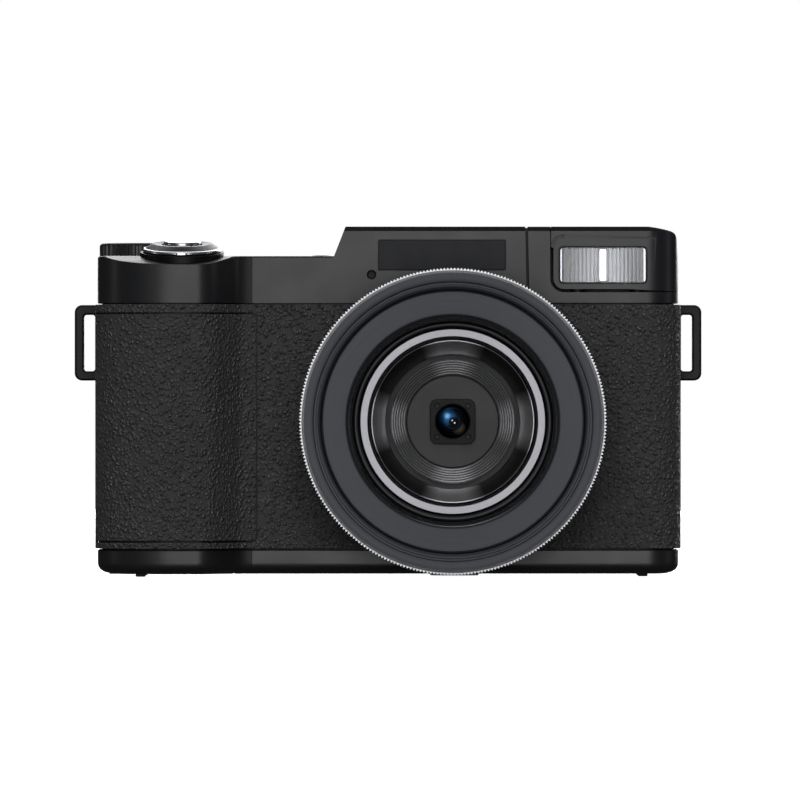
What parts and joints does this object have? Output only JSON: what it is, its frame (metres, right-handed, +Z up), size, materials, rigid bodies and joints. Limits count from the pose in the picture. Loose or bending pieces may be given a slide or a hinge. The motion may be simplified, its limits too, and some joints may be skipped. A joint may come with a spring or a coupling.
{
  "type": "compact digital camera",
  "caption": "Compact digital camera with a leather-grained grip, fixed lens in a knurled ring, pop-up flash, mode dial and flip-up rear screen.",
  "frame": {"origin": "centre of the whole camera's box, at the bottom of its feet", "axes": "+Z up, -Y the way the lens looks, +X towards the flash side, away from the grip"},
  "size_m": [0.126, 0.0526, 0.07],
  "materials": {
    "top_shell": "dark grey satin paint",
    "shell": "black satin",
    "leather": "black pebbled leather grain",
    "plate": "smooth black",
    "black": "black satin",
    "rubber": "black rubber",
    "anodised": "black anodised, turned",
    "steel": "brushed",
    "silver": "bright",
    "clear": "clear, ridged",
    "glass": "coated glass",
    "board": "circuit board",
    "cell": "wrapped cell"
  },
  "bodies": {
    "casing": {"front_cover": "shell", "rear_cover": "shell", "bottom_plate": "shell", "top_cover": "top_shell", "flash_surround": "top_shell", "front_leather": "leather", "grip_leather": "leather", "name_plate": "plate", "lens_plate": "plate", "image_sensor": "plate", "memory_card": "plate", "strap_lug_left": "black", "strap_lug_right": "black", "shutter_seat": "black", "lens_tube": "black", "inner_barrel": "black", "lens_bezel": "black", "lens_barrel": "black", "hinge_bracket": "black", "speaker": "black", "foot_1": "rubber", "foot_2": "rubber", "foot_3": "rubber", "foot_4": "rubber", "cone_ring": "anodised", "ridge_ring": "anodised", "hinge_pin": "steel", "door_pin": "steel", "usb_socket": "steel", "tripod_socket": "steel", "silver_ring": "silver", "front_element": "glass", "main_board": "board", "sensor_board": "board", "battery": "cell", "flash_capacitor": "cell"},
    "shutter": {"shutter_button": "silver"},
    "zoom": {"zoom_ring": "steel"},
    "dial": {"mode_dial": "black"},
    "power": {"power_button": "plate"},
    "flash": {"flash_head": "top_shell", "flash_window": "clear", "flash_reflector": "silver", "flash_tube": "clear"},
    "release": {"flash_release": "black"},
    "adapter": {"adapter_ring": "black", "adapter_face": "plate"},
    "screen": {"screen_housing": "black", "screen_glass": "glass", "lcd_panel": "plate"},
    "key_up": {"nav_up": "black"},
    "key_down": {"nav_down": "black"},
    "key_left": {"nav_left": "black"},
    "key_right": {"nav_right": "black"},
    "key_ok": {"ok_button": "black"},
    "key_menu": {"menu_button": "black"},
    "key_play": {"play_button": "black"},
    "ports": {"port_door": "rubber"},
    "door": {"battery_door": "shell"},
    "latch": {"door_latch": "black"}
  },
  "joints": [
    {"name": "shutter_press", "type": "slide", "parent": "casing", "child": "shutter", "axis": [0, 0.1219, -0.9925], "range_m": [0, 0.0008], "stiffness_N_per_m": 500, "springref_m": -0.001},
    {"name": "zoom_turn", "type": "hinge", "parent": "casing", "child": "zoom", "pos_m": [-0.0412, -0.0046, 0.0647], "axis": [0, -0.1219, 0.9925], "range_deg": [-25, 25], "stiffness_Nm_per_rad": 0.02},
    {"name": "dial_turn", "type": "hinge", "parent": "casing", "child": "dial", "pos_m": [-0.05, 0.0099, 0.0621], "axis": [0, 0, 1], "continuous": true},
    {"name": "power_press", "type": "slide", "parent": "casing", "child": "power", "axis": [0, 0, -1], "range_m": [0, 0.0005], "stiffness_N_per_m": 500, "springref_m": -0.001},
    {"name": "flash_rise", "type": "slide", "parent": "casing", "child": "flash", "axis": [0, 0, 1], "range_m": [0, 0.01]},
    {"name": "release_slide", "type": "slide", "parent": "casing", "child": "release", "axis": [1, 0, 0], "range_m": [0, 0.0016], "stiffness_N_per_m": 200, "springref_m": -0.001},
    {"name": "adapter_pull", "type": "slide", "parent": "casing", "child": "adapter", "axis": [0, -1, 0], "range_m": [0, 0.015]},
    {"name": "screen_flip", "type": "hinge", "parent": "casing", "child": "screen", "pos_m": [0, 0.0243, 0.0616], "axis": [1, 0, 0], "range_deg": [0, 180]},
    {"name": "up_press", "type": "slide", "parent": "casing", "child": "key_up", "axis": [0, -1, 0], "range_m": [0, 0.0005], "stiffness_N_per_m": 800, "springref_m": -0.0005},
    {"name": "down_press", "type": "slide", "parent": "casing", "child": "key_down", "axis": [0, -1, 0], "range_m": [0, 0.0005], "stiffness_N_per_m": 800, "springref_m": -0.0005},
    {"name": "left_press", "type": "slide", "parent": "casing", "child": "key_left", "axis": [0, -1, 0], "range_m": [0, 0.0005], "stiffness_N_per_m": 800, "springref_m": -0.0005},
    {"name": "right_press", "type": "slide", "parent": "casing", "child": "key_right", "axis": [0, -1, 0], "range_m": [0, 0.0005], "stiffness_N_per_m": 800, "springref_m": -0.0005},
    {"name": "ok_press", "type": "slide", "parent": "casing", "child": "key_ok", "axis": [0, -1, 0], "range_m": [0, 0.0005], "stiffness_N_per_m": 800, "springref_m": -0.0005},
    {"name": "menu_press", "type": "slide", "parent": "casing", "child": "key_menu", "axis": [0, -1, 0], "range_m": [0, 0.0005], "stiffness_N_per_m": 800, "springref_m": -0.0005},
    {"name": "play_press", "type": "slide", "parent": "casing", "child": "key_play", "axis": [0, -1, 0], "range_m": [0, 0.0005], "stiffness_N_per_m": 800, "springref_m": -0.0005},
    {"name": "port_open", "type": "hinge", "parent": "casing", "child": "ports", "pos_m": [0.0584, 0.0165, 0.028], "axis": [0, 0, 1], "range_deg": [0, 110]},
    {"name": "door_swing", "type": "hinge", "parent": "casing", "child": "door", "pos_m": [-0.0434, 0.013, 0.0021], "axis": [1, 0, 0], "range_deg": [0, 90]},
    {"name": "latch_slide", "type": "slide", "parent": "door", "child": "latch", "axis": [0, 1, 0], "range_m": [0, 0.0012], "stiffness_N_per_m": 200, "springref_m": -0.001}
  ]
}
